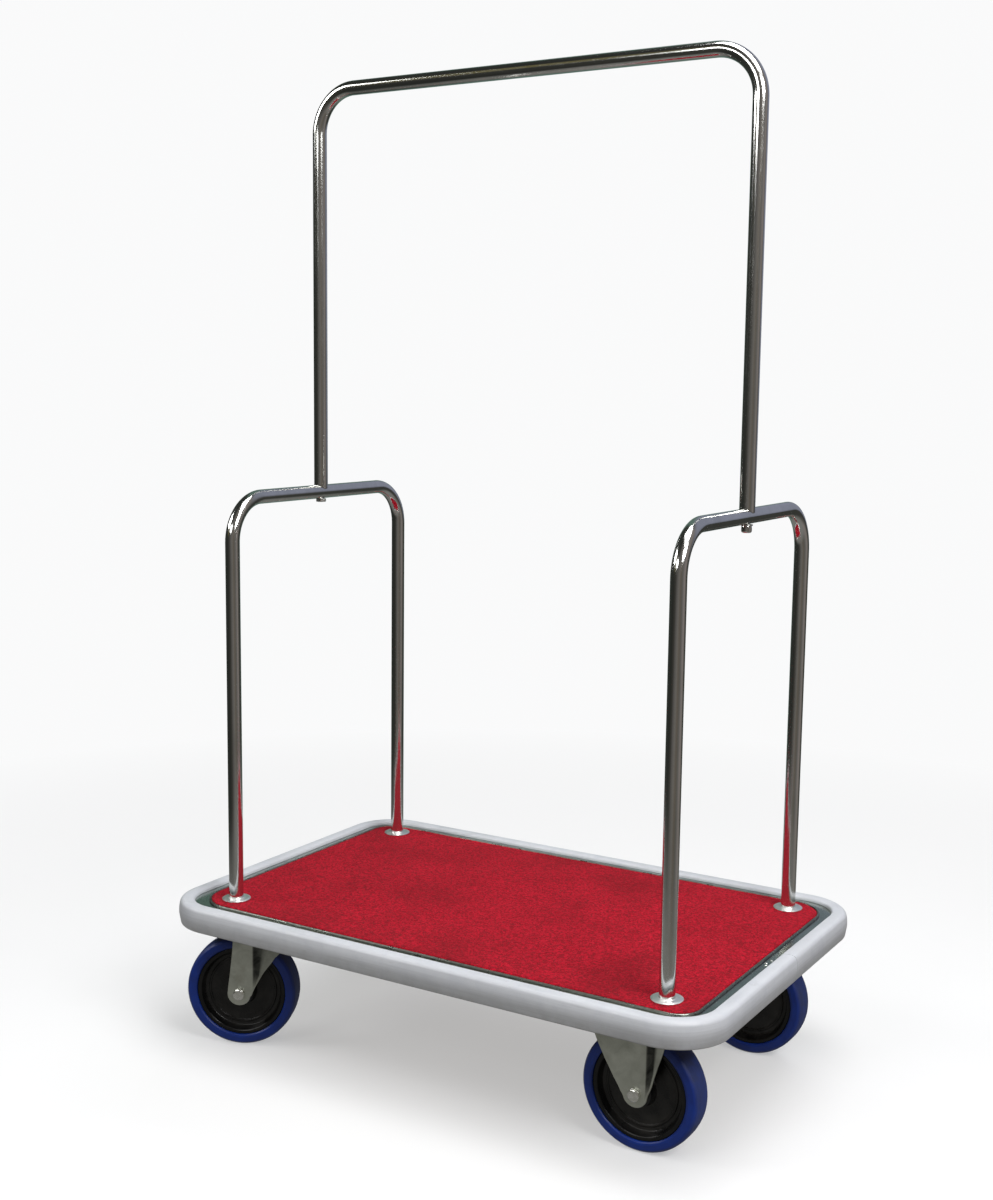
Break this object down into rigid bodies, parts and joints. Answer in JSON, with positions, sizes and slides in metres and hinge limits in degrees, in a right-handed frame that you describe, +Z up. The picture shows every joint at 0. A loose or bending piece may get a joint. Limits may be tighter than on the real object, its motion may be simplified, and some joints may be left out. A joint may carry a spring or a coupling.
{
  "type": "hotel luggage cart",
  "caption": "Platform luggage cart with a carpeted deck, soft bumper, side hoops, a tall garment hoop, and swivel and fixed casters.",
  "frame": {"origin": "on the floor under the middle of the platform", "axes": "+X along the platform's length towards the fixed casters, +Y across it towards the back, +Z up"},
  "size_m": [1.063, 0.687, 1.7152],
  "materials": {
    "chrome": "polished chrome plate",
    "polished_steel": "polished stainless sheet and bead",
    "zinc_steel": "bright zinc-plated pressed steel",
    "carpet": "dense red cut pile, mottled",
    "bumper": "satin light grey extruded vinyl",
    "plywood": "raw birch plywood",
    "black_hub": "black moulded nylon, slightly glossy",
    "blue_tread": "satin blue elastic rubber"
  },
  "bodies": {
    "cart": {"deck_board": "plywood", "deck_sheet": "polished_steel", "carpet_trim": "polished_steel", "carpet": "carpet", "bumper": "bumper", "rail_front": "zinc_steel", "rail_back": "zinc_steel", "crossmember_left": "zinc_steel", "crossmember_right": "zinc_steel", "side_hoop_left": "chrome", "side_hoop_right": "chrome", "tall_hoop": "chrome", "tall_hoop_washer": "chrome", "tall_hoop_cap_nut": "chrome", "tall_hoop_plug_left": "zinc_steel", "tall_hoop_plug_right": "zinc_steel", "tall_hoop_bolt": "zinc_steel", "post_flange_front_left": "chrome", "post_plug_front_left": "zinc_steel", "post_bolt_front_left": "zinc_steel", "post_flange_back_left": "chrome", "post_plug_back_left": "zinc_steel", "post_bolt_back_left": "zinc_steel", "post_flange_front_right": "chrome", "post_plug_front_right": "zinc_steel", "post_bolt_front_right": "zinc_steel", "fork_front_right": "zinc_steel", "axle_bolt_front_right": "zinc_steel", "axle_nut_front_right": "zinc_steel", "post_flange_back_right": "chrome", "post_plug_back_right": "zinc_steel", "post_bolt_back_right": "zinc_steel", "fork_back_right": "zinc_steel", "axle_bolt_back_right": "zinc_steel", "axle_nut_back_right": "zinc_steel", "swivel_plate_front_left": "zinc_steel", "kingpin_front_left": "zinc_steel", "swivel_plate_back_left": "zinc_steel", "kingpin_back_left": "zinc_steel"},
    "wheel_front_left": {"wheel_hub_front_left": "black_hub", "wheel_tread_front_left": "blue_tread", "wheel_bearing_front_left": "zinc_steel"},
    "wheel_back_left": {"wheel_hub_back_left": "black_hub", "wheel_tread_back_left": "blue_tread", "wheel_bearing_back_left": "zinc_steel"},
    "wheel_front_right": {"wheel_hub_front_right": "black_hub", "wheel_tread_front_right": "blue_tread", "wheel_bearing_front_right": "zinc_steel"},
    "wheel_back_right": {"wheel_hub_back_right": "black_hub", "wheel_tread_back_right": "blue_tread", "wheel_bearing_back_right": "zinc_steel"},
    "swivel_front_left": {"fork_front_left": "zinc_steel", "swivel_race_front_left": "zinc_steel", "axle_bolt_front_left": "zinc_steel", "axle_nut_front_left": "zinc_steel"},
    "swivel_back_left": {"fork_back_left": "zinc_steel", "swivel_race_back_left": "zinc_steel", "axle_bolt_back_left": "zinc_steel", "axle_nut_back_left": "zinc_steel"}
  },
  "joints": [
    {"name": "front_left_swivel", "type": "hinge", "parent": "cart", "child": "swivel_front_left", "pos_m": [-0.366, -0.2235, 0.22], "axis": [0, 0, 1], "continuous": true},
    {"name": "front_left_wheel_spin", "type": "hinge", "parent": "swivel_front_left", "child": "wheel_front_left", "pos_m": [-0.41313, -0.24548, 0.1], "axis": [0.4226, -0.9063, 0], "continuous": true},
    {"name": "back_left_swivel", "type": "hinge", "parent": "cart", "child": "swivel_back_left", "pos_m": [-0.366, 0.2235, 0.22], "axis": [0, 0, 1], "continuous": true},
    {"name": "back_left_wheel_spin", "type": "hinge", "parent": "swivel_back_left", "child": "wheel_back_left", "pos_m": [-0.41646, 0.23608, 0.1], "axis": [-0.2419, -0.9703, 0], "continuous": true},
    {"name": "front_right_wheel_spin", "type": "hinge", "parent": "cart", "child": "wheel_front_right", "pos_m": [0.376, -0.2185, 0.1], "axis": [0, 1, 0], "continuous": true},
    {"name": "back_right_wheel_spin", "type": "hinge", "parent": "cart", "child": "wheel_back_right", "pos_m": [0.376, 0.2185, 0.1], "axis": [0, 1, 0], "continuous": true}
  ]
}
